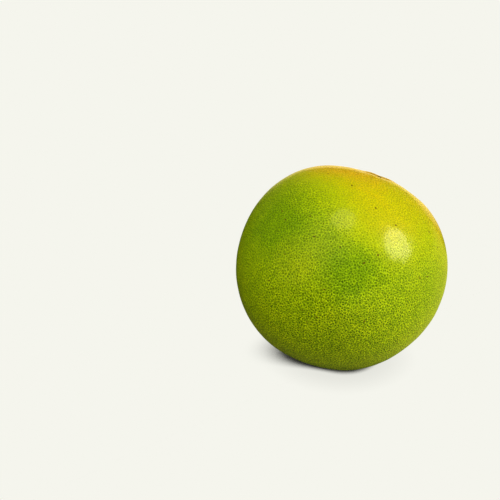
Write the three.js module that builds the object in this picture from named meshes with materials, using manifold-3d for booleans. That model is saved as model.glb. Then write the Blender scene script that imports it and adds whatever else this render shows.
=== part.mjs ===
// A pera orange: one whole sweet orange with its dry calyx, the button that the stalk leaves behind.
// Millimetres, +Z up. The fruit lies on z = 0 with its stem axis leaning, as a round fruit does when
// it is put down, and the origin is the middle of the small flat spot that it rests on.

import * as THREE from "three";
import { mergeVertices } from "three/addons/utils/BufferGeometryUtils.js";
import Module from "manifold-3d";

// The body, measured from the fruit's middle
const EQUATOR_RADIUS = 35.5;
const STEM_RADIUS = 34.7; // towards the stem, before that end is flattened and dimpled
const BLOSSOM_RADIUS = 35.2; // towards the other end, before it is flattened
const SQUARENESS = 2.07; // 2 is a plain ellipse, and a little more fills the shoulders

// Hollows round the two ends. Each has a depth and the distance along the skin over which it fades
const SHOULDER = { depth: 0.5, reach: 15 };
const DIMPLE = { depth: 2.6, reach: 5.0 };
const BLOSSOM_FLAT = { depth: 0.4, reach: 10 };
const BLOSSOM_SCAR = { depth: 0.35, reach: 1.7 };

// Furrows that run out from the calyx between the segments
const FURROWS = { count: 9, depth: 0.2, at: 6.5, reach: 4.5 };

// Swells and hollows that make the fruit uneven, in degrees and millimetres. Colatitude is measured
// from the stem. Longitude 0 is on the fruit's right as it lies, and 90 is behind
const SWELLS = [
  { colatitude: 11, longitude: 110, spread: 6, rise: 0.27 },
  { colatitude: 12, longitude: 50, spread: 7, rise: 0.27 },
  { colatitude: 20, longitude: 8, spread: 10, rise: -0.6 },
  { colatitude: 19, longitude: 155, spread: 8, rise: -0.35 },
  { colatitude: 18, longitude: 180, spread: 18, rise: -0.6 },
  { colatitude: 50, longitude: 180, spread: 34, rise: 0.3 },
  { colatitude: 58, longitude: 20, spread: 28, rise: 0.55 },
  { colatitude: 60, longitude: 300, spread: 26, rise: -0.25 },
  { colatitude: 80, longitude: 95, spread: 36, rise: -0.4 },
  { colatitude: 100, longitude: 0, spread: 30, rise: 0.3 },
  { colatitude: 105, longitude: 250, spread: 40, rise: 0.35 },
  { colatitude: 122, longitude: 0, spread: 24, rise: -1.0 },
  { colatitude: 165, longitude: 0, spread: 22, rise: -0.5 },
];

// The calyx: a stub of stalk on a five-lobed button that is pressed to the skin
const STUB = { radius: 1.15, height: 0.6, cup: 0.2 };
const LOBES = { count: 5, notch: 2.2, tip: 3.7, bluntness: 0.12 };
const BUTTON_THICK = 0.85; // beside the stub
const LOBE_THICK = 0.55; // near the rim
const RIM_THICK = 0.4;
const SEAT_GAP = 0.3; // between the calyx and the skin
const CALYX_SHIFT = 0.6; // the calyx sits this far off the stem axis, towards longitude 0

// How the fruit lies
const LEAN = 28.5; // degrees from upright
const LEAN_TOWARDS = 41.4; // the compass direction of the lean, in degrees from +X towards +Y
const SPIN = -46.6; // about its own stem axis, in degrees
const MIDDLE = new THREE.Vector3(-0.3, -1.3, 34.8); // where the fruit's middle is

// How finely the skins are divided
const FRUIT_RINGS = 54;
const FRUIT_COLUMNS = 76;
const END_CROWDING = 0.5; // 0 spaces the rings evenly, and more draws them to the two ends
const CALYX_COLUMNS = 60;

const { degToRad } = THREE.MathUtils;
const fade = (distance, reach) => Math.exp(-((distance / reach) ** 2));

function direction(colatitude, longitude) {
  return new THREE.Vector3(
    Math.sin(colatitude) * Math.cos(longitude),
    Math.sin(colatitude) * Math.sin(longitude),
    Math.cos(colatitude),
  );
}

// Distance from the fruit's middle to its skin. Colatitude is measured from the stem, in radians.
function skinRadius(colatitude, longitude) {
  const pole = Math.cos(colatitude) > 0 ? STEM_RADIUS : BLOSSOM_RADIUS;
  const across = Math.abs(Math.sin(colatitude) / EQUATOR_RADIUS) ** SQUARENESS;
  const along = Math.abs(Math.cos(colatitude) / pole) ** SQUARENESS;
  let radius = (across + along) ** (-1 / SQUARENESS);

  const fromStem = EQUATOR_RADIUS * colatitude;
  const fromBlossom = EQUATOR_RADIUS * (Math.PI - colatitude);
  radius -= SHOULDER.depth * fade(fromStem, SHOULDER.reach);
  radius -= DIMPLE.depth * fade(fromStem, DIMPLE.reach);
  radius -= BLOSSOM_FLAT.depth * fade(fromBlossom, BLOSSOM_FLAT.reach);
  radius -= BLOSSOM_SCAR.depth * fade(fromBlossom, BLOSSOM_SCAR.reach);
  radius -= furrowDepth(fromStem, longitude);

  const here = direction(colatitude, longitude);
  for (const swell of SWELLS) {
    const top = direction(degToRad(swell.colatitude), degToRad(swell.longitude));
    radius += swell.rise * fade(here.angleTo(top), degToRad(swell.spread));
  }
  return radius;
}

// The furrows are uneven: a slow wave round the axis makes some of them nearly vanish.
function furrowDepth(fromStem, longitude) {
  const wave = 0.5 + 0.5 * Math.cos(FURROWS.count * longitude + Math.sin(2 * longitude));
  const unevenness = 0.65 + 0.35 * Math.sin(3 * longitude + 1);
  return FURROWS.depth * wave * unevenness * fade(fromStem - FURROWS.at, FURROWS.reach);
}

// A closed skin of rows from one end to the other, where the first and last rows are single points.
function closedSkin(rowCount, columnCount, pointAt) {
  const points = [pointAt(0, 0)];
  for (let row = 1; row < rowCount; row++)
    for (let column = 0; column < columnCount; column++)
      points.push(pointAt(row, (2 * Math.PI * column) / columnCount));
  points.push(pointAt(rowCount, 0));

  const last = points.length - 1;
  const index = (row, column) => 1 + (row - 1) * columnCount + (column % columnCount);
  const faces = [];
  for (let column = 0; column < columnCount; column++) {
    faces.push(0, index(1, column), index(1, column + 1));
    for (let row = 1; row < rowCount - 1; row++) {
      const [a, b] = [index(row, column), index(row, column + 1)];
      const [c, d] = [index(row + 1, column), index(row + 1, column + 1)];
      faces.push(a, c, b, b, c, d);
    }
    faces.push(last, index(rowCount - 1, column + 1), index(rowCount - 1, column));
  }
  return new THREE.BufferGeometry().setFromPoints(points).setIndex(faces);
}

function fruitSkin() {
  const colatitudeOf = (row) => {
    const share = row / FRUIT_RINGS;
    const crowding = (END_CROWDING * Math.sin(2 * Math.PI * share)) / (2 * Math.PI);
    return Math.PI * (share - crowding);
  };
  return closedSkin(FRUIT_RINGS, FRUIT_COLUMNS, (row, longitude) => {
    const colatitude = colatitudeOf(row);
    return direction(colatitude, longitude).multiplyScalar(skinRadius(colatitude, longitude));
  });
}

// Distance from the calyx's middle to its rim: five blunt points of uneven length
function rimDistance(longitude) {
  const wave = Math.sin((LOBES.count * longitude) / 2);
  const point = 1 - Math.sqrt(wave ** 2 + LOBES.bluntness ** 2);
  const unevenness = 1 + 0.12 * Math.sin(2 * longitude + 1);
  return LOBES.notch + (LOBES.tip - LOBES.notch) * point * unevenness;
}

// The calyx is laid on the skin. Each row is a distance from its own middle and a lift off the skin.
function calyxSkin() {
  const buttonTop = SEAT_GAP + BUTTON_THICK;
  const stubTop = buttonTop + STUB.height;
  const at = (distance) => () => distance;
  const toRim = (share) => (longitude) =>
    STUB.radius + share * (rimDistance(longitude) - STUB.radius);
  const rows = [
    [at(0), stubTop - STUB.cup],
    [at(0.6 * STUB.radius), stubTop - STUB.cup],
    [at(0.85 * STUB.radius), stubTop],
    [at(STUB.radius), stubTop - 0.15 * STUB.height],
    [at(STUB.radius), buttonTop + 0.3 * STUB.height],
    [toRim(0.15), buttonTop],
    [toRim(0.5), SEAT_GAP + (BUTTON_THICK + LOBE_THICK) / 2],
    [toRim(0.85), SEAT_GAP + LOBE_THICK],
    [toRim(1), SEAT_GAP + RIM_THICK],
    [toRim(1), SEAT_GAP],
    [toRim(0.5), SEAT_GAP],
    [toRim(0), SEAT_GAP],
    [at(0), SEAT_GAP],
  ];
  return closedSkin(rows.length - 1, CALYX_COLUMNS, (row, longitude) => {
    const [distance, lift] = rows[row];
    const towards = direction(distance(longitude) / EQUATOR_RADIUS, longitude);
    towards.applyAxisAngle(new THREE.Vector3(0, 1, 0), CALYX_SHIFT / EQUATOR_RADIUS);
    const radius = skinRadius(Math.acos(towards.z), Math.atan2(towards.y, towards.x)) + lift;
    return towards.multiplyScalar(radius);
  });
}

const wasm = await Module();
wasm.setup();

function toSolid(geometry) {
  const bare = geometry.clone();
  bare.deleteAttribute("normal");
  bare.deleteAttribute("uv");
  const merged = mergeVertices(bare, 1e-4);
  return new wasm.Manifold(
    new wasm.Mesh({
      numProp: 3,
      vertProperties: new Float32Array(merged.attributes.position.array),
      triVerts: new Uint32Array(merged.index.array),
    }),
  );
}

function toGeometry(solid) {
  const mesh = solid.getMesh();
  const geometry = new THREE.BufferGeometry();
  geometry.setAttribute("position", new THREE.BufferAttribute(mesh.vertProperties, 3));
  geometry.setIndex(new THREE.BufferAttribute(mesh.triVerts, 1));
  geometry.computeVertexNormals();
  return geometry;
}

// The group that turns and lifts the fruit as it lies
const orange = new THREE.Group();
orange.position.copy(MIDDLE);
orange.quaternion
  .setFromAxisAngle(new THREE.Vector3(0, 0, 1), degToRad(LEAN_TOWARDS))
  .multiply(new THREE.Quaternion().setFromAxisAngle(new THREE.Vector3(0, 1, 0), degToRad(LEAN)))
  .multiply(new THREE.Quaternion().setFromAxisAngle(new THREE.Vector3(0, 0, 1), degToRad(SPIN)));
orange.updateMatrixWorld(true);

// What would reach below the surface is cut away, which leaves the flat spot.
function belowSurface() {
  const side = 4 * EQUATOR_RADIUS;
  const box = new THREE.BoxGeometry(side, side, side);
  box.translate(0, 0, -side / 2);
  return box.applyMatrix4(orange.matrixWorld.clone().invert());
}

const fruit = new THREE.Mesh(
  toGeometry(toSolid(fruitSkin()).subtract(toSolid(belowSurface()))),
  new THREE.MeshStandardMaterial({ color: 0x9aad12, roughness: 0.42, metalness: 0 }),
);
fruit.name = "fruit";
orange.add(fruit);

const calyx = new THREE.Mesh(
  calyxSkin(),
  new THREE.MeshStandardMaterial({ color: 0x5f4a26, roughness: 0.85, metalness: 0 }),
);
calyx.name = "calyx";
orange.add(calyx);

const part = new THREE.Group();
part.add(orange);

export default part;
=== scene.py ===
# Looks of a whole pera orange: the peel with its oil glands and the dry calyx in its dimple,
# on a pale floor under soft light. The fruit's shape is the formula that its solid was built from.

import math
from collections import namedtuple

import bmesh
import bpy
import numpy as np
from mathutils import Matrix, Vector, kdtree, noise


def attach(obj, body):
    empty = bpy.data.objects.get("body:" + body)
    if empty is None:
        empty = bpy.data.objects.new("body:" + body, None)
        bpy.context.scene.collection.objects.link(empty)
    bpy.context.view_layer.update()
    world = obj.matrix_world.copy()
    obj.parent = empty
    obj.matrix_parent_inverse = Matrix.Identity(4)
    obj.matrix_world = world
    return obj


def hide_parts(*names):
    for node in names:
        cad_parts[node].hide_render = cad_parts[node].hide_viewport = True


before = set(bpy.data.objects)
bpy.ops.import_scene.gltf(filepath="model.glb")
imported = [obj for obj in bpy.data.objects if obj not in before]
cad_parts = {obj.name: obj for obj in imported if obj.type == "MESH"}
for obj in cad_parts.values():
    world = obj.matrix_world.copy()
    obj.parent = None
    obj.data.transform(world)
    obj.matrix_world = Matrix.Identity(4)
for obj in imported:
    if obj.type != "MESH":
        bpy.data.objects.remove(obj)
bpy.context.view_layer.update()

SEED = 7
MM = 0.001

# The body, in millimetres from the fruit's middle
EQUATOR_RADIUS = 35.5
STEM_RADIUS = 34.7
BLOSSOM_RADIUS = 35.2
SQUARENESS = 2.07

# Hollows round the two ends
Hollow = namedtuple("Hollow", "depth reach")
SHOULDER = Hollow(0.5, 15)
DIMPLE = Hollow(2.6, 5.0)
BLOSSOM_FLAT = Hollow(0.4, 10)
BLOSSOM_SCAR = Hollow(0.35, 1.7)

# Furrows that run out from the calyx
FURROW_COUNT = 9
FURROW_DEPTH = 0.2
FURROW_AT = 6.5
FURROW_REACH = 4.5

# Swells and hollows that make the fruit uneven, in degrees and millimetres
Swell = namedtuple("Swell", "colatitude longitude spread rise")
SWELLS = [
    Swell(11, 110, 6, 0.27),
    Swell(12, 50, 7, 0.27),
    Swell(20, 8, 10, -0.6),
    Swell(19, 155, 8, -0.35),
    Swell(18, 180, 18, -0.6),
    Swell(50, 180, 34, 0.3),
    Swell(58, 20, 28, 0.55),
    Swell(60, 300, 26, -0.25),
    Swell(80, 95, 36, -0.4),
    Swell(100, 0, 30, 0.3),
    Swell(105, 250, 40, 0.35),
    Swell(122, 0, 24, -1.0),
    Swell(165, 0, 22, -0.5),
]

# How the fruit lies, in degrees and millimetres
LEAN = 28.5
LEAN_TOWARDS = 41.4
SPIN = -46.6
MIDDLE = Vector((-0.3, -1.3, 34.8))

# The peel's surface: oil glands in shallow pits, and a slight waviness between them
GLANDS = 16000
GLAND_RADIUS = 0.22
GLAND_UNEVENNESS = 0.55
GLAND_SCATTER = 0.45  # in spacings, before the glands are pushed apart
GLAND_PUSH = 0.4  # how much of what two glands lack in distance each of them moves
GLAND_PUSHES = 2
NEIGHBOURS = 6
GLAND_NAMES = ("gland_a", "gland_b", "gland_c")  # the three glands that a point is between
PIT_DEPTH = 0.025
PIT_REACH = 1.8  # of a pit, in gland radii
DOT_EDGE = (0.3, 1.4)  # where a gland's dark dot starts to fade and ends, in gland radii
NET_WIDTH = 0.42  # of the pale lines between the glands
WAVES = [(6.0, 0.05), (2.4, 0.02)]  # length and height of each waviness

# The calyx: a stub of stalk on a five-lobed button that lies on the skin
STUB_RADIUS = 1.15
STUB_HEIGHT = 0.6
STUB_CUP = 0.2
LOBE_COUNT = 5
LOBE_NOTCH = 2.2
LOBE_TIP = 3.7
LOBE_BLUNTNESS = 0.12
BUTTON_THICK = 1.05
LOBE_THICK = 0.7
RIM_THICK = 0.5
CALYX_SEAT = 0.05
CALYX_SHIFT = 0.6  # off the stem axis, towards longitude 0
CALYX_COLUMNS = 240

# Where the camera stands and what it sees
VIEW_ELEVATION = 24.0  # degrees above the horizon, looking along +Y
VIEW_DISTANCE = 800.0
PIXELS_PER_MM = 2.946
PICTURE_SIDE = 500
MIDDLE_IN_PICTURE = (341.2, 267.1)
SENSOR_WIDTH = 36.0


# Shape

def fade(distance, reach):
    return np.exp(-((distance / reach) ** 2))


def direction(colatitude, longitude):
    """Unit vectors in the fruit's own axes, with the stem along +Z. Angles are in radians."""
    return np.stack([
        np.sin(colatitude) * np.cos(longitude),
        np.sin(colatitude) * np.sin(longitude),
        np.cos(colatitude) * np.ones_like(longitude),
    ], axis=-1)


def furrow_depth(from_stem, longitude):
    wave = 0.5 + 0.5 * np.cos(FURROW_COUNT * longitude + np.sin(2 * longitude))
    unevenness = 0.65 + 0.35 * np.sin(3 * longitude + 1)
    return FURROW_DEPTH * wave * unevenness * fade(from_stem - FURROW_AT, FURROW_REACH)


def skin_radius(towards):
    """Distance in millimetres from the fruit's middle to its skin along unit vectors."""
    colatitude = np.arccos(np.clip(towards[..., 2], -1, 1))
    longitude = np.arctan2(towards[..., 1], towards[..., 0])
    pole = np.where(towards[..., 2] > 0, STEM_RADIUS, BLOSSOM_RADIUS)
    across = np.abs(np.sin(colatitude) / EQUATOR_RADIUS) ** SQUARENESS
    along = np.abs(np.cos(colatitude) / pole) ** SQUARENESS
    radius = (across + along) ** (-1 / SQUARENESS)

    from_stem = EQUATOR_RADIUS * colatitude
    from_blossom = EQUATOR_RADIUS * (np.pi - colatitude)
    radius -= SHOULDER.depth * fade(from_stem, SHOULDER.reach)
    radius -= DIMPLE.depth * fade(from_stem, DIMPLE.reach)
    radius -= BLOSSOM_FLAT.depth * fade(from_blossom, BLOSSOM_FLAT.reach)
    radius -= BLOSSOM_SCAR.depth * fade(from_blossom, BLOSSOM_SCAR.reach)
    radius -= furrow_depth(from_stem, longitude)
    for swell in SWELLS:
        top = direction(np.radians(swell.colatitude), np.radians(swell.longitude))
        angle = np.arccos(np.clip(towards @ top, -1, 1))
        radius += swell.rise * fade(angle, np.radians(swell.spread))
    return radius


def fruit_turn():
    """The rotation from the fruit's own axes to the way it lies."""
    towards = Matrix.Rotation(math.radians(LEAN_TOWARDS), 3, "Z")
    lean = Matrix.Rotation(math.radians(LEAN), 3, "Y")
    spin = Matrix.Rotation(math.radians(SPIN), 3, "Z")
    return np.array(towards @ lean @ spin)


def laid(points):
    """Points in millimetres in the fruit's own axes, as metres where the fruit lies."""
    return (points @ fruit_turn().T + np.array(MIDDLE)) * MM


def on_skin(colatitude, longitude):
    """The place in metres of one point of the skin, with the angles in degrees."""
    towards = direction(np.radians(colatitude), np.radians(longitude))
    return Vector(laid(towards * skin_radius(towards)))


# Peel

def gland_directions(random):
    """Directions of the oil glands: a spiral over the ball, shaken and then pushed apart."""
    count = np.arange(GLANDS)
    golden_turn = math.pi * (3 - math.sqrt(5))
    colatitude = np.arccos(1 - (2 * count + 1) / GLANDS)
    towards = direction(colatitude, count * golden_turn)
    spacing = math.sqrt(4 * math.pi / GLANDS)
    towards += random.normal(0, GLAND_SCATTER * spacing, towards.shape)
    towards /= np.linalg.norm(towards, axis=1, keepdims=True)
    for step in range(GLAND_PUSHES):
        towards = pushed_apart(towards, spacing)
    return towards


def pushed_apart(towards, spacing):
    """Each point moves away from its nearest neighbours that are less than a spacing away."""
    tree = kdtree.KDTree(len(towards))
    for index, point in enumerate(towards):
        tree.insert(point, index)
    tree.balance()
    near = np.array([
        [found[1] for found in tree.find_n(point, NEIGHBOURS + 1)][1:] for point in towards
    ])
    away = towards[:, None, :] - towards[near]
    distance = np.linalg.norm(away, axis=2, keepdims=True)
    push = away / distance * np.clip(spacing - distance, 0, None)
    moved = towards + GLAND_PUSH * push.sum(axis=1)
    return moved / np.linalg.norm(moved, axis=1, keepdims=True)


def joined_triangles(towards):
    """Triangles between neighbouring directions, facing out."""
    hull = bmesh.new()
    for point in towards:
        hull.verts.new(point)
    hull.verts.index_update()
    bmesh.ops.convex_hull(hull, input=hull.verts)
    triangles = np.array([[vertex.index for vertex in face.verts] for face in hull.faces])
    hull.free()
    a, b, c = (towards[triangles[:, corner]] for corner in range(3))
    inward = np.einsum("ij,ij->i", np.cross(b - a, c - a), a) < 0
    triangles[inward] = triangles[inward][:, ::-1]
    return triangles


def split_in_six(points, triangles):
    """Adds a point halfway along each side and one in each middle: each triangle becomes six.
    Returns the points, each triangle's six faces, and the glands that each point is between."""
    sides = np.sort(triangles[:, [[0, 1], [1, 2], [2, 0]]].reshape(-1, 2), axis=1)
    edges, edge_of = np.unique(sides, axis=0, return_inverse=True)
    halves = points[edges].mean(axis=1)
    middles = points[triangles].mean(axis=1)
    grown = np.vstack([points, halves, middles])
    own = np.repeat(np.arange(len(points))[:, None], 3, axis=1)
    glands = np.vstack([own, edges[:, [0, 1, 1]], triangles])

    a, b, c = triangles.T
    ab, bc, ca = len(points) + edge_of.reshape(-1, 3).T
    middle = len(points) + len(edges) + np.arange(len(triangles))
    ring = [a, ab, b, bc, c, ca]
    faces = [(ring[i], ring[(i + 1) % 6], middle) for i in range(6)]
    return grown, np.array(faces).transpose(2, 0, 1), glands


def waviness(points):
    """Height in millimetres of the slight waves in the skin."""
    height = np.zeros(len(points))
    for length, rise in WAVES:
        height += [rise * noise.noise(Vector(point) / length) for point in points]
    return height


def peel_piece():
    random = np.random.default_rng(SEED)
    glands = gland_directions(random)
    triangles = joined_triangles(glands)
    towards, faces, parents = split_in_six(glands, triangles)
    towards /= np.linalg.norm(towards, axis=1, keepdims=True)
    skin = towards * skin_radius(towards)[:, None]

    size = 1 + GLAND_UNEVENNESS * random.uniform(-1, 1, GLANDS)
    apart = np.linalg.norm(skin[:, None, :] - skin[parents], axis=2)
    off_centre = (apart / (GLAND_RADIUS * size[parents])).min(axis=1)
    flank = np.clip(off_centre / PIT_REACH, 0, 1)
    pit = PIT_DEPTH * (1 - flank ** 2 * (3 - 2 * flank)) * size[parents[:, 0]]
    skin += towards * (waviness(skin) - pit)[:, None]
    places = laid(skin)
    places[:, 2] = np.maximum(places[:, 2], 0)

    mesh = bpy.data.meshes.new("peel")
    mesh.from_pydata(places.tolist(), [], faces.reshape(-1, 3).tolist())
    mesh.shade_smooth()
    corners_each = faces[0].size
    for name, gland in zip(GLAND_NAMES, triangles.T):
        value = np.column_stack([places[gland], GLAND_RADIUS * MM * size[gland]])
        colour = mesh.attributes.new(name, "FLOAT_COLOR", "CORNER")
        colour.data.foreach_set("color", np.repeat(value, corners_each, axis=0).ravel())
    add_two_disc_map(mesh, towards[faces.reshape(-1, 3)])
    return placed(mesh)


def add_two_disc_map(mesh, corner_directions):
    """A flat map of the skin: the stem half on one disc and the blossom half on another."""
    radius = 0.28  # of a disc, on a map that is 1 wide
    centres = np.array([[0.3, 0.3], [0.7, 0.7]])
    half = (corner_directions[:, :, 2].mean(axis=1) < 0).astype(int)
    flip = np.where(half == 1, -1, 1)[:, None]
    out = np.arccos(np.clip(corner_directions[:, :, 2] * flip, -1, 1)) / (math.pi / 2)
    turn = np.arctan2(corner_directions[:, :, 1], corner_directions[:, :, 0] * flip)
    flat = np.stack([out * np.cos(turn), out * np.sin(turn)], axis=-1) * radius
    flat += centres[half][:, None, :]
    layer = mesh.uv_layers.new(name="OFBake")
    layer.uv.foreach_set("vector", flat.astype(np.float32).ravel())


def placed(mesh):
    piece = bpy.data.objects.new(mesh.name, mesh)
    bpy.context.scene.collection.objects.link(piece)
    return piece


# Calyx

# Each point of the profile is a share of the stub's radius, a share of the way on to the rim,
# and a lift off the skin
CALYX_PROFILE = [
    (0.0, 0.0, BUTTON_THICK + STUB_HEIGHT - STUB_CUP),
    (0.6, 0.0, BUTTON_THICK + STUB_HEIGHT - STUB_CUP),
    (0.85, 0.0, BUTTON_THICK + STUB_HEIGHT),
    (1.0, 0.0, BUTTON_THICK + 0.85 * STUB_HEIGHT),
    (1.0, 0.0, BUTTON_THICK + 0.3 * STUB_HEIGHT),
    (1.0, 0.15, BUTTON_THICK),
    (1.0, 0.5, (BUTTON_THICK + LOBE_THICK) / 2),
    (1.0, 0.85, LOBE_THICK),
    (1.0, 1.0, RIM_THICK),
    (1.0, 1.0, 0.0),
    (1.0, 0.5, 0.0),
    (1.0, 0.0, 0.0),
    (0.0, 0.0, 0.0),
]
ROWS_BETWEEN = 5
ROUNDINGS = 2
RIM_RAGGED = 0.06  # a share of the rim's distance
RIB_HEIGHT = 0.06
CRUMPLE = 0.1  # height of the button's fine unevenness
UPPER_SIDE = 0.2  # what is lifted more than this is uneven, and the rest lies flat on the skin


def rim_distance(longitude):
    """Distance from the calyx's middle to its rim: five blunt points of uneven length."""
    wave = np.sin(LOBE_COUNT * longitude / 2)
    point = 1 - np.sqrt(wave ** 2 + LOBE_BLUNTNESS ** 2)
    unevenness = 1 + 0.12 * np.sin(2 * longitude + 1)
    return LOBE_NOTCH + (LOBE_TIP - LOBE_NOTCH) * point * unevenness


def finer(profile):
    """The profile with points added between its own, and its corners slightly rounded."""
    knots = np.array(profile)
    at = np.arange(0, len(knots) - 1 + 1e-9, 1 / ROWS_BETWEEN)
    fine = np.stack([np.interp(at, np.arange(len(knots)), column) for column in knots.T], axis=1)
    for step in range(ROUNDINGS):
        fine[1:-1] = (fine[:-2] + 2 * fine[1:-1] + fine[2:]) / 4
    return fine


def calyx_piece():
    profile = finer(CALYX_PROFILE)
    longitude = np.arange(CALYX_COLUMNS) * 2 * math.pi / CALYX_COLUMNS
    ragged = np.array([
        noise.noise(Vector((3 * math.cos(turn), 3 * math.sin(turn), 0))) for turn in longitude
    ])
    rim = rim_distance(longitude) * (1 + RIM_RAGGED * ragged)
    stub_share, rim_share, lift = (column[:, None] for column in profile.T)
    distance = stub_share * STUB_RADIUS + rim_share * (rim - STUB_RADIUS)
    across = np.sin(math.pi * np.clip(rim_share, 0, 1))
    rib = RIB_HEIGHT * np.cos(LOBE_COUNT * longitude) * across
    top = lift > UPPER_SIDE
    height = lift + np.where(top, rib, 0)
    towards = direction(distance / EQUATOR_RADIUS, longitude[None, :] + 0 * distance)
    shift = Matrix.Rotation(CALYX_SHIFT / EQUATOR_RADIUS, 3, "Y")
    towards = towards @ np.array(shift).T
    skin = towards * (skin_radius(towards) + CALYX_SEAT + height)[..., None]
    rough = np.array([
        [noise.fractal(Vector(point) * 1.6, 1.0, 2.0, 3) for point in row] for row in skin
    ])
    skin += towards * np.where(top, CRUMPLE * rough, 0)[..., None]

    rows = len(profile)
    first, last = skin[0].mean(axis=0), skin[-1].mean(axis=0)
    points = np.vstack([first, skin[1:-1].reshape(-1, 3), last])
    end = len(points) - 1

    def index(row, column):
        return 1 + (row - 1) * CALYX_COLUMNS + column % CALYX_COLUMNS

    faces = []
    for column in range(CALYX_COLUMNS):
        faces.append((0, index(1, column), index(1, column + 1)))
        for row in range(1, rows - 2):
            faces.append((
                index(row, column), index(row + 1, column),
                index(row + 1, column + 1), index(row, column + 1),
            ))
        faces.append((end, index(rows - 2, column + 1), index(rows - 2, column)))
    mesh = bpy.data.meshes.new("calyx_button")
    mesh.from_pydata(laid(points).tolist(), [], faces)
    mesh.shade_smooth()
    return placed(mesh)


# Materials

class Nodes:
    """Adds nodes to one tree. A value is a number, a colour or another node's socket."""

    def __init__(self, tree):
        self.tree = tree

    def add(self, kind, values=None, **settings):
        made = self.tree.nodes.new(kind)
        for name, value in settings.items():
            setattr(made, name, value)
        for name, value in (values or {}).items():
            self.set(made.inputs[name], value)
        return made

    def set(self, socket, value):
        if isinstance(value, bpy.types.NodeSocket):
            self.tree.links.new(value, socket)
        else:
            socket.default_value = value

    def math(self, operation, a, b=0.0, c=0.0, clamp=False):
        made = self.add("ShaderNodeMath", {0: a, 1: b, 2: c}, operation=operation, use_clamp=clamp)
        return made.outputs[0]

    def vector(self, operation, a, b):
        made = self.add("ShaderNodeVectorMath", {0: a, 1: b}, operation=operation)
        return made.outputs["Value" if operation in ("DISTANCE", "DOT_PRODUCT") else "Vector"]

    def remap(self, value, low, high, to_low=0.0, to_high=1.0):
        """A smooth step from to_low to to_high as the value goes from low to high."""
        sockets = {"Value": value, "From Min": low, "From Max": high}
        sockets.update({"To Min": to_low, "To Max": to_high})
        return self.add("ShaderNodeMapRange", sockets, interpolation_type="SMOOTHSTEP").outputs[0]

    def mix(self, share, a, b, blend="MIX"):
        made = self.add("ShaderNodeMix", data_type="RGBA", blend_type=blend)
        self.set(made.inputs[0], share)
        self.set(made.inputs[6], a)
        self.set(made.inputs[7], b)
        return made.outputs[2]

    def ramp(self, value, stops):
        """Colours at the given places along 0 to 1."""
        made = self.add("ShaderNodeValToRGB", {0: value})
        elements = made.color_ramp.elements
        elements[0].position, elements[0].color = stops[0][0], (*stops[0][1], 1)
        elements[1].position, elements[1].color = stops[-1][0], (*stops[-1][1], 1)
        for place, colour in stops[1:-1]:
            elements.new(place).color = (*colour, 1)
        return made.outputs[0]

    def noise(self, position, length, detail):
        """Noise from 0 to 1 with features of that length, in the units of the position."""
        sockets = {"Vector": position, "Scale": 1 / length, "Detail": detail}
        return self.add("ShaderNodeTexNoise", sockets).outputs["Fac"]

    def millimetres(self):
        """The place on the piece, in millimetres."""
        place = self.add("ShaderNodeTexCoord").outputs["Object"]
        made = self.add("ShaderNodeVectorMath", {0: place, "Scale": 1 / MM}, operation="SCALE")
        return made.outputs[0]

    def group(self, name, values=None):
        made = self.add("ShaderNodeGroup", node_tree=bpy.data.node_groups[name])
        for key, value in (values or {}).items():
            self.set(made.inputs[key], value)
        return made


def new_group(name, inputs, outputs):
    """An empty node group with named sockets. Returns its nodes, inputs and output node."""
    tree = bpy.data.node_groups.new(name, "ShaderNodeTree")
    for label, (kind, value) in inputs.items():
        socket = tree.interface.new_socket(label, in_out="INPUT", socket_type=kind)
        socket.default_value = value
    for label, kind in outputs.items():
        tree.interface.new_socket(label, in_out="OUTPUT", socket_type=kind)
    nodes = Nodes(tree)
    return nodes, nodes.add("NodeGroupInput").outputs, nodes.add("NodeGroupOutput")


def make_oil_gland_group():
    """Where a point lies among the oil glands. Off centre is its distance from the nearest
    gland's middle in gland radii, Dot is that gland's dark dot, and Net is the pale line between
    two glands."""
    outputs = dict.fromkeys(("Off centre", "Dot", "Net"), "NodeSocketFloat")
    nodes, _, out = new_group("Oil glands", {}, outputs)
    place = nodes.add("ShaderNodeTexCoord").outputs["Object"]
    apart, radii = [], []
    for name in GLAND_NAMES:
        gland = nodes.add("ShaderNodeAttribute", attribute_name=name)
        apart.append(nodes.vector("DISTANCE", place, gland.outputs["Color"]))
        radii.append(nodes.math("DIVIDE", apart[-1], gland.outputs["Alpha"]))
    off_centre = nodes.math("MINIMUM", nodes.math("MINIMUM", radii[0], radii[1]), radii[2])
    near = nodes.math("MINIMUM", apart[0], apart[1])
    far = nodes.math("MAXIMUM", apart[0], apart[1])
    nearest = nodes.math("MINIMUM", near, apart[2])
    second = nodes.math("MAXIMUM", near, nodes.math("MINIMUM", far, apart[2]))
    lead = nodes.math("SUBTRACT", second, nearest)
    nodes.set(out.inputs["Off centre"], off_centre)
    nodes.set(out.inputs["Dot"], nodes.remap(off_centre, *DOT_EDGE, 1.0, 0.0))
    nodes.set(out.inputs["Net"], nodes.remap(lead, 0.0, NET_WIDTH * MM, 1.0, 0.0))


MOTTLE_FINER = 3.7  # how many times smaller the fine patches are
MOTTLE_FINE_SHARE = 0.5


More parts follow.
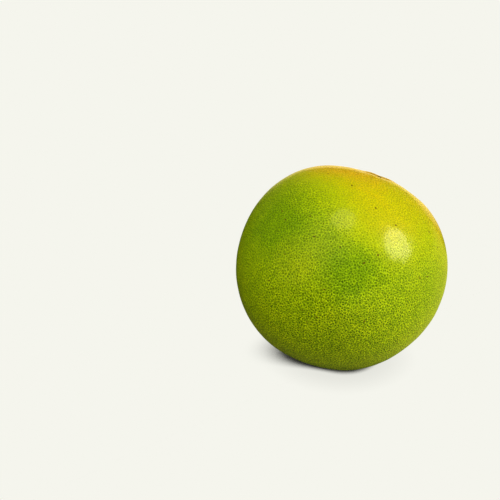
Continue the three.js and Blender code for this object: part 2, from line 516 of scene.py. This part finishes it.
def make_mottle_group():
    """Uneven colour at two lengths: coarse patches and half as strong fine ones, about 0."""
    inputs = {"Length": ("NodeSocketFloat", 5.0), "Strength": ("NodeSocketFloat", 1.0)}
    nodes, given, out = new_group("Mottle", inputs, {"Value": "NodeSocketFloat"})
    place = nodes.millimetres()
    inverse = nodes.math("DIVIDE", 1.0, given["Length"])
    coarse = nodes.add("ShaderNodeTexNoise", {"Vector": place, "Scale": inverse, "Detail": 2.0})
    fine_scale = nodes.math("MULTIPLY", inverse, MOTTLE_FINER)
    fine = nodes.add("ShaderNodeTexNoise", {"Vector": place, "Scale": fine_scale, "Detail": 3.0})
    both = nodes.math(
        "MULTIPLY_ADD", fine.outputs["Fac"], MOTTLE_FINE_SHARE, coarse.outputs["Fac"]
    )
    mean = (1 + MOTTLE_FINE_SHARE) / 2
    centred = nodes.math("SUBTRACT", both, mean)
    nodes.set(out.inputs["Value"], nodes.math("MULTIPLY", centred, given["Strength"]))


# Soft patches that are riper or greener than what is round them: place on the skin in degrees,
# reach in millimetres, and how much riper
PATCHES = [
    (10, 60, 16, 0.08),
    (22, -165, 25, 0.36),
    (27, -75, 12, -0.05),
    (39, -3, 16, 0.25),
    (58, -6, 16, 0.18),
    (54, -99, 20, 0.12),
    (63, -63, 15, 0.09),
    (62, -133, 32, -0.36),
    (88, -86, 14, -0.25),
    (88, -117, 13, 0.20),
    (120, 60, 22, 0.12),
    (95, 150, 20, 0.10),
]
PATCH_CORE = 0.2  # the share of a patch's reach where it is at its strongest
SUNNY_SIDE = Vector((0.28, 0.18, 0.94))  # the fruit ripens from here, close to the stem
SUNNY_TURNS = (0.2, 1.05)  # how far a place faces that way where ripening starts and is full
RIPENESS = (0.24, 0.85)  # at those two, before the patches
RIPENESS_MOTTLE = {"Length": 9.0, "Strength": 0.2}
PEEL_COLOURS = [
    (0.0, (0.160, 0.320, 0.004)),
    (0.25, (0.245, 0.400, 0.005)),
    (0.5, (0.390, 0.510, 0.006)),
    (0.75, (0.490, 0.510, 0.005)),
    (1.0, (0.660, 0.470, 0.012)),
]
# How strongly the glands and the grain show: more towards the lower front, away from the lights,
# where the extra contrast is painted shade in the pits and painted glint on the ridges, and less
# where the peel is riper
RELIEF_SHADE_SIDE = Vector((-0.1, -0.75, -0.65))
RELIEF_SHADE_TURNS = (0.2, 0.8)
RELIEF_SHADE_SHARES = (0.6, 1.0)
GREEN_TURNS = (0.22, 0.56)
GREEN_SHARES = (1.0, 0.46)
DOT_COLOUR = (0.42, 0.48, 0.5)  # multiplies the peel's colour
# The pale lines between the glands: partly the peel's own pale network, partly a painted glint on
# the ridges between the pits
NET_AND_RIDGE_GLINT_COLOUR = (2.20, 1.85, 2.1)
NET_PIECE = 0.9  # length of the pieces that the pale lines are broken into, in millimetres
FLECK_COLOURS = ((0.52, 0.60, 0.6), (1.50, 1.40, 1.4))  # of the finest dark and pale grain
FLECK_LENGTH = 0.36
BLOTCH_COLOURS = ((0.86, 0.89, 0.9), (1.13, 1.10, 1.1))  # of patches a few millimetres across
BLOTCH_LENGTH = 3.5
COLLAR_COLOUR = (0.50, 0.27, 0.045)  # of the skin in the dimple
SPECK_COLOUR = (0.10, 0.05, 0.01)
# The few strong brown specks and the faint ones. Spacing, core and reach are in millimetres
Speck = namedtuple("Speck", "spacing core reach strength")
SPECKS = [Speck(5.0, 0.27, 0.45, 0.85), Speck(2.6, 0.10, 0.32, 0.25)]
CORK_COLOUR = (0.22, 0.15, 0.05)
# Stains of the skin: colatitude of the middle in degrees, core and reach in millimetres
Stain = namedtuple("Stain", "colatitude core reach strength colour")
STAINS = [
    Stain(0, 4.5, 9.5, 0.85, COLLAR_COLOUR),  # the dimple's orange-brown skin
    Stain(0, 3.0, 5.5, 0.75, CORK_COLOUR),  # a cork ring at the calyx
    Stain(180, 0.6, 2.2, 0.9, CORK_COLOUR),  # a small scar at the other end
]
STAIN_MOTTLE = {"Length": 1.5, "Strength": 0.8}
PEEL_ROUGHNESS = 0.42
ROUGHNESS_MOTTLE = {"Length": 4.0, "Strength": 0.12}
DOT_ROUGHNESS = 0.12  # added in a gland's dark dot
PEEL_RELIEF = 0.16  # height of the finest relief, in millimetres
PIT_EDGE = (0.1, 1.6)  # where that relief's pit starts to rise and ends, in gland radii
WRINKLE_LENGTH = 0.45
WRINKLE_SHARE = 0.6


def facing(nodes, place, side):
    """How much the place lies on that side of the fruit, from -1 to 1."""
    away = nodes.vector("SUBTRACT", place, tuple(MIDDLE * MM))
    unit = nodes.add("ShaderNodeVectorMath", {0: away}, operation="NORMALIZE").outputs[0]
    return nodes.vector("DOT_PRODUCT", unit, tuple(side.normalized()))


def ripeness(nodes, place):
    """From 0, deep green, to 1, orange."""
    facing_sun = facing(nodes, place, SUNNY_SIDE)
    value = nodes.remap(facing_sun, *SUNNY_TURNS, *RIPENESS)
    mottle = nodes.group("Mottle", RIPENESS_MOTTLE).outputs[0]
    value = nodes.math("ADD", value, mottle)
    for colatitude, longitude, reach, riper in PATCHES:
        centre = on_skin(colatitude, longitude)
        apart = nodes.vector("DISTANCE", place, tuple(centre))
        patch = nodes.remap(apart, PATCH_CORE * reach * MM, reach * MM, riper, 0.0)
        value = nodes.math("ADD", value, patch)
    return value


def peel_material():
    material = bpy.data.materials.new("green orange peel")
    material.use_nodes = True
    nodes = Nodes(material.node_tree)
    shader = material.node_tree.nodes["Principled BSDF"]
    place = nodes.add("ShaderNodeTexCoord").outputs["Object"]
    millimetres = nodes.millimetres()
    glands = nodes.group("Oil glands")
    dot = glands.outputs["Dot"]

    ripe = ripeness(nodes, place)
    colour = nodes.ramp(ripe, PEEL_COLOURS)
    # The side away from the lights gets more contrast: painted shade and glint of the peel's
    # relief
    facing_relief_shade = facing(nodes, place, RELIEF_SHADE_SIDE)
    painted_relief_shade = nodes.remap(facing_relief_shade, *RELIEF_SHADE_TURNS, *RELIEF_SHADE_SHARES)
    greener = nodes.remap(ripe, *GREEN_TURNS, *GREEN_SHARES)
    contrast = nodes.math("MULTIPLY", greener, painted_relief_shade)
    broken = nodes.remap(nodes.noise(millimetres, NET_PIECE, 1.0), 0.3, 0.6, 0.3, 1.0)
    net = nodes.math("MULTIPLY", glands.outputs["Net"], broken)
    grain = nodes.remap(nodes.noise(millimetres, FLECK_LENGTH, 1.0), 0.35, 0.65)
    dark_grain, pale_grain = ((*fleck, 1) for fleck in FLECK_COLOURS)
    blotch = nodes.remap(nodes.noise(millimetres, BLOTCH_LENGTH, 3.0), 0.3, 0.7)
    dark_blotch, pale_blotch = ((*stain, 1) for stain in BLOTCH_COLOURS)
    for share, tint in (
        (net, (*NET_AND_RIDGE_GLINT_COLOUR, 1)),
        (1.0, nodes.mix(grain, dark_grain, pale_grain)),
        (dot, (*DOT_COLOUR, 1)),
        (1.0, nodes.mix(blotch, dark_blotch, pale_blotch)),
    ):
        tinted = nodes.mix(1.0, colour, tint, "MULTIPLY")
        strength = nodes.math("MULTIPLY", share, contrast, clamp=True)
        colour = nodes.mix(strength, colour, tinted)

    for colatitude, core, reach, strength, tint in STAINS:
        apart = nodes.vector("DISTANCE", place, tuple(on_skin(colatitude, 0)))
        cover = nodes.remap(apart, core * MM, reach * MM, strength, 0.0)
        uneven = nodes.math("ADD", nodes.group("Mottle", STAIN_MOTTLE).outputs[0], 1.0)
        share = nodes.math("MULTIPLY", cover, uneven, clamp=True)
        colour = nodes.mix(share, colour, (*tint, 1))

    for spacing, core, reach, strength in SPECKS:
        cells = nodes.add("ShaderNodeTexVoronoi", {"Vector": millimetres, "Scale": 1 / spacing})
        from_middle = cells.outputs["Distance"]
        cover = nodes.remap(from_middle, core / spacing, reach / spacing, strength, 0.0)
        colour = nodes.mix(cover, colour, (*SPECK_COLOUR, 1))
    nodes.set(shader.inputs["Base Color"], colour)

    mottle = nodes.group("Mottle", ROUGHNESS_MOTTLE).outputs[0]
    dull = nodes.math("ADD", PEEL_ROUGHNESS, mottle)
    nodes.set(shader.inputs["Roughness"], nodes.math("MULTIPLY_ADD", dot, DOT_ROUGHNESS, dull))
    shader.inputs["Specular IOR Level"].default_value = 0.1
    shader.inputs["Coat Weight"].default_value = 0.5
    shader.inputs["Coat Roughness"].default_value = 0.16
    shader.inputs["Subsurface Weight"].default_value = 0.12
    shader.inputs["Subsurface Radius"].default_value = (1.0, 0.7, 0.1)
    shader.inputs["Subsurface Scale"].default_value = 0.0012

    pits = nodes.remap(glands.outputs["Off centre"], *PIT_EDGE)
    wrinkles = nodes.noise(millimetres, WRINKLE_LENGTH, 2.0)
    relief = nodes.math("MULTIPLY_ADD", wrinkles, WRINKLE_SHARE, pits)
    bump = nodes.add("ShaderNodeBump", {"Height": relief, "Distance": PEEL_RELIEF * MM})
    nodes.set(shader.inputs["Normal"], bump.outputs["Normal"])
    return material


CALYX_COLOURS = [
    (0.2, (0.024, 0.014, 0.005)),
    (0.5, (0.090, 0.055, 0.021)),
    (0.8, (0.250, 0.170, 0.080)),
]
CALYX_MIDDLE = 0.45  # where its usual colour is among these
CALYX_MOTTLE = {"Length": 1.1, "Strength": 1.3}
CALYX_ROUGHNESS = 0.8
CALYX_GRAIN = 0.25  # its length, in millimetres
CALYX_RELIEF = 0.12


def calyx_material():
    material = bpy.data.materials.new("dry calyx")
    material.use_nodes = True
    nodes = Nodes(material.node_tree)
    shader = material.node_tree.nodes["Principled BSDF"]
    millimetres = nodes.millimetres()
    mottle = nodes.group("Mottle", CALYX_MOTTLE).outputs[0]
    colour = nodes.ramp(nodes.math("ADD", mottle, CALYX_MIDDLE), CALYX_COLOURS)
    nodes.set(shader.inputs["Base Color"], colour)
    nodes.set(shader.inputs["Roughness"], nodes.math("ADD", CALYX_ROUGHNESS, mottle))
    shader.inputs["Specular IOR Level"].default_value = 0.25
    grain = nodes.noise(millimetres, CALYX_GRAIN, 4.0)
    bump = nodes.add("ShaderNodeBump", {"Height": grain, "Distance": CALYX_RELIEF * MM})
    nodes.set(shader.inputs["Normal"], bump.outputs["Normal"])
    return material


# Floor, light and camera

PAPER = (0.913, 0.913, 0.847)  # the pale ground's colour in the picture
# The shadow under the fruit is painted in the floor's glow, not cast by the lamps. Its reach is in
# millimetres, and it reaches further on the side away from the key light
SHADOW_AWAY = Vector((-0.7, 0.7, 0.0))
SHADOW_TURNS = (-6.0, 31.0)  # how far that way it starts to grow and is full
SHADOW_REACH = (3.1, 15.0)
SHADOW_GAIN = (1.26, 1.8)
SHADOW_POWER = 3.5
SHADE_REACH = 9.0  # of the faint shade round that dark
SHADE_POWER = 1.5
SHADE = 0.2
SHADOW_COLOUR = (0.02, 0.02, 0.015)
BOUNCE = (0.28, 0.26, 0.04)  # the light that the floor throws up on the fruit
BOUNCE_REACH = 45.0  # how far from the fruit the floor throws less, in millimetres
BOUNCE_SIDES = (0.1, 2.8)  # how strong it is on the left and on the right
BOUNCE_SPREAD = 70.0  # from the middle to where those are full, in millimetres
SKY = (0.10, 0.095, 0.02)
LAMP_COLOUR = (1.0, 0.9, 0.42)
LAMP_DISTANCE = 0.9
FLOOR_REACH = 8.0  # from the middle to the floor's sides, in metres
FLOOR_DROP = 0.05  # in millimetres, so that floor and fruit don't share a face

# The glowing card, a sheet that stands in for a lamp and shows only in the fruit's reflections,
# with its corners in metres across and behind
CARD_CORNERS = [(-0.05, 0.1), (0.08, 0.1), (2.3, 3.0), (-1.2, 3.0)]
CARD_LIFT = 0.2  # over the floor's level, in millimetres
CARD_GLOW_COLOUR = (1.6, 1.25, 0.45)
CARD_NEAR = (0.1, 0.2)  # how far behind it starts to glow and glows fully
CARD_LEFT = (-0.4, 0.0)  # the same from its left edge, in metres across for each metre behind
CARD_RIGHT = (0.4, 0.75)  # where it starts to fade and is dark, at its right edge


def flat_piece(name, corners):
    mesh = bpy.data.meshes.new(name)
    mesh.from_pydata([(x, y, 0) for x, y in corners], [], [(0, 1, 2, 3)])
    return placed(mesh)


def only_glows(shader):
    """The material takes no light and gives off its emission colour as it is."""
    shader.inputs["Emission Strength"].default_value = 1.0
    shader.inputs["Base Color"].default_value = (0.0, 0.0, 0.0, 1)
    shader.inputs["Specular IOR Level"].default_value = 0.0


def floor_piece():
    side = FLOOR_REACH
    floor = flat_piece("floor", [(-side, -side), (side, -side), (side, side), (-side, side)])
    floor.location.z = -FLOOR_DROP * MM
    material = bpy.data.materials.new("pale paper with painted shadow")
    material.use_nodes = True
    nodes = Nodes(material.node_tree)
    shader = material.node_tree.nodes["Principled BSDF"]
    seen = nodes.add("ShaderNodeLightPath").outputs["Is Camera Ray"]
    reach = nodes.add("ShaderNodeMapRange", {"Value": seen, "To Min": BOUNCE_REACH * MM})
    away = nodes.vector("DOT_PRODUCT", nodes.millimetres(), tuple(SHADOW_AWAY))
    shadow_reach = nodes.remap(away, *SHADOW_TURNS, *SHADOW_REACH)
    nodes.set(reach.inputs["To Max"], nodes.math("MULTIPLY", shadow_reach, MM))
    # The painted shadow: the floor glows and is darkened where the fruit covers it
    open_share = nodes.add("ShaderNodeAmbientOcclusion", samples=32)
    nodes.set(open_share.inputs["Distance"], reach.outputs[0])
    covered = nodes.math("SUBTRACT", 1.0, open_share.outputs["AO"])
    gain = nodes.remap(away, *SHADOW_TURNS, *SHADOW_GAIN)
    shadow = nodes.math("MULTIPLY", covered, gain, clamp=True)
    shadow = nodes.math("POWER", shadow, SHADOW_POWER)
    wide_share = nodes.add("ShaderNodeAmbientOcclusion", samples=16)
    wide_share.inputs["Distance"].default_value = SHADE_REACH * MM
    wide = nodes.math("SUBTRACT", 1.0, wide_share.outputs["AO"])
    shade = nodes.math("MULTIPLY", nodes.math("POWER", wide, SHADE_POWER), SHADE)
    shadow = nodes.math("MAXIMUM", shadow, shade)
    across = nodes.add("ShaderNodeSeparateXYZ", {0: nodes.millimetres()}).outputs["X"]
    side_share = nodes.remap(across, -BOUNCE_SPREAD, BOUNCE_SPREAD, *BOUNCE_SIDES)
    share = nodes.add("ShaderNodeCombineXYZ", dict.fromkeys("XYZ", side_share)).outputs[0]
    bounce = nodes.vector("MULTIPLY", BOUNCE, share)
    paper = nodes.mix(seen, bounce, (*PAPER, 1))
    nodes.set(shader.inputs["Emission Color"], nodes.mix(shadow, paper, (*SHADOW_COLOUR, 1)))
    shader.inputs["Roughness"].default_value = 1.0
    only_glows(shader)
    floor.data.materials.append(material)


def reflection_card():
    """A glowing card on the ground behind the fruit, which stands in for a lamp. It shows only as
    a reflection, the pale line along the fruit's rim, and fades towards its edges."""
    card = flat_piece("reflection card", CARD_CORNERS)
    card.location.z = CARD_LIFT * MM
    material = bpy.data.materials.new("glowing card")
    material.use_nodes = True
    nodes = Nodes(material.node_tree)
    shader = material.node_tree.nodes["Principled BSDF"]
    place = nodes.add("ShaderNodeTexCoord").outputs["Object"]
    across, behind, _ = nodes.add("ShaderNodeSeparateXYZ", {0: place}).outputs
    slope = nodes.math("DIVIDE", across, behind)
    glow = nodes.remap(behind, *CARD_NEAR)
    for edge in (nodes.remap(slope, *CARD_LEFT), nodes.remap(slope, *CARD_RIGHT, 1.0, 0.0)):
        glow = nodes.math("MULTIPLY", glow, edge)
    colour = nodes.mix(glow, (0.0, 0.0, 0.0, 1), (*CARD_GLOW_COLOUR, 1))
    nodes.set(shader.inputs["Emission Color"], colour)
    only_glows(shader)
    card.data.materials.append(material)
    card.visible_camera = False
    card.visible_diffuse = False
    card.visible_shadow = False


def softbox(name, towards, width, brightness):
    """A round soft light that faces the fruit. Brightness 1 looks as bright as white paper."""
    lamp = bpy.data.lights.new(name, "AREA")
    lamp.shape = "DISK"
    lamp.size = width
    lamp.energy = brightness * math.pi * math.pi * width ** 2 / 4
    lamp.color = LAMP_COLOUR
    light = bpy.data.objects.new(name, lamp)
    bpy.context.scene.collection.objects.link(light)
    aim = Vector(towards).normalized()
    light.location = MIDDLE * MM + aim * LAMP_DISTANCE
    light.rotation_euler = aim.to_track_quat("Z", "Y").to_euler()
    light.visible_camera = False
    return light


def set_lights():
    softbox("key softbox", (0.847, -0.197, 0.488), 0.46, 10.9)
    softbox("overhead softbox", (0.04, -0.226, 0.973), 0.38, 2.6)
    scrim = softbox("overhead scrim", (-0.26, -0.58, 0.77), 0.9, 2.7)
    behind = softbox("back fill", (0.0, 0.99, 0.10), 1.0, 1.3)
    left = softbox("left fill", (-0.80, -0.45, 0.30), 0.8, 1.15)
    fill = softbox("right fill", (0.92, -0.25, -0.15), 0.5, 2.6)
    for soft in (scrim, fill, left, behind):
        soft.visible_glossy = False
    world = bpy.data.worlds.new("studio")
    world.use_nodes = True
    nodes = Nodes(world.node_tree)
    background = world.node_tree.nodes["Background"]
    seen = nodes.add("ShaderNodeLightPath").outputs["Is Camera Ray"]
    nodes.set(background.inputs["Color"], nodes.mix(seen, (*SKY, 1), (*PAPER, 1)))
    bpy.context.scene.world = world
    bpy.context.scene.view_settings.view_transform = "Standard"


def set_camera():
    elevation = math.radians(VIEW_ELEVATION)
    right = Vector((1, 0, 0))
    up = Vector((0, math.sin(elevation), math.cos(elevation)))
    back = Vector((0, -math.cos(elevation), math.sin(elevation)))
    aside = (MIDDLE_IN_PICTURE[0] - PICTURE_SIDE / 2) / PIXELS_PER_MM
    below = (MIDDLE_IN_PICTURE[1] - PICTURE_SIDE / 2) / PIXELS_PER_MM
    data = bpy.data.cameras.new("camera")
    data.sensor_width = SENSOR_WIDTH
    data.lens = SENSOR_WIDTH * PIXELS_PER_MM * VIEW_DISTANCE / PICTURE_SIDE
    camera = bpy.data.objects.new("camera", data)
    camera.location = (MIDDLE - aside * right + below * up + VIEW_DISTANCE * back) * MM
    camera.rotation_euler = (math.pi / 2 - elevation, 0, 0)
    bpy.context.scene.collection.objects.link(camera)
    bpy.context.scene.camera = camera


set_camera()
set_lights()
floor_piece()
reflection_card()
make_oil_gland_group()
make_mottle_group()

peel = peel_piece()
peel.data.materials.append(peel_material())
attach(peel, "root")
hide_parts("fruit")

calyx = calyx_piece()
calyx.data.materials.append(calyx_material())
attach(calyx, "root")
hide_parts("calyx")
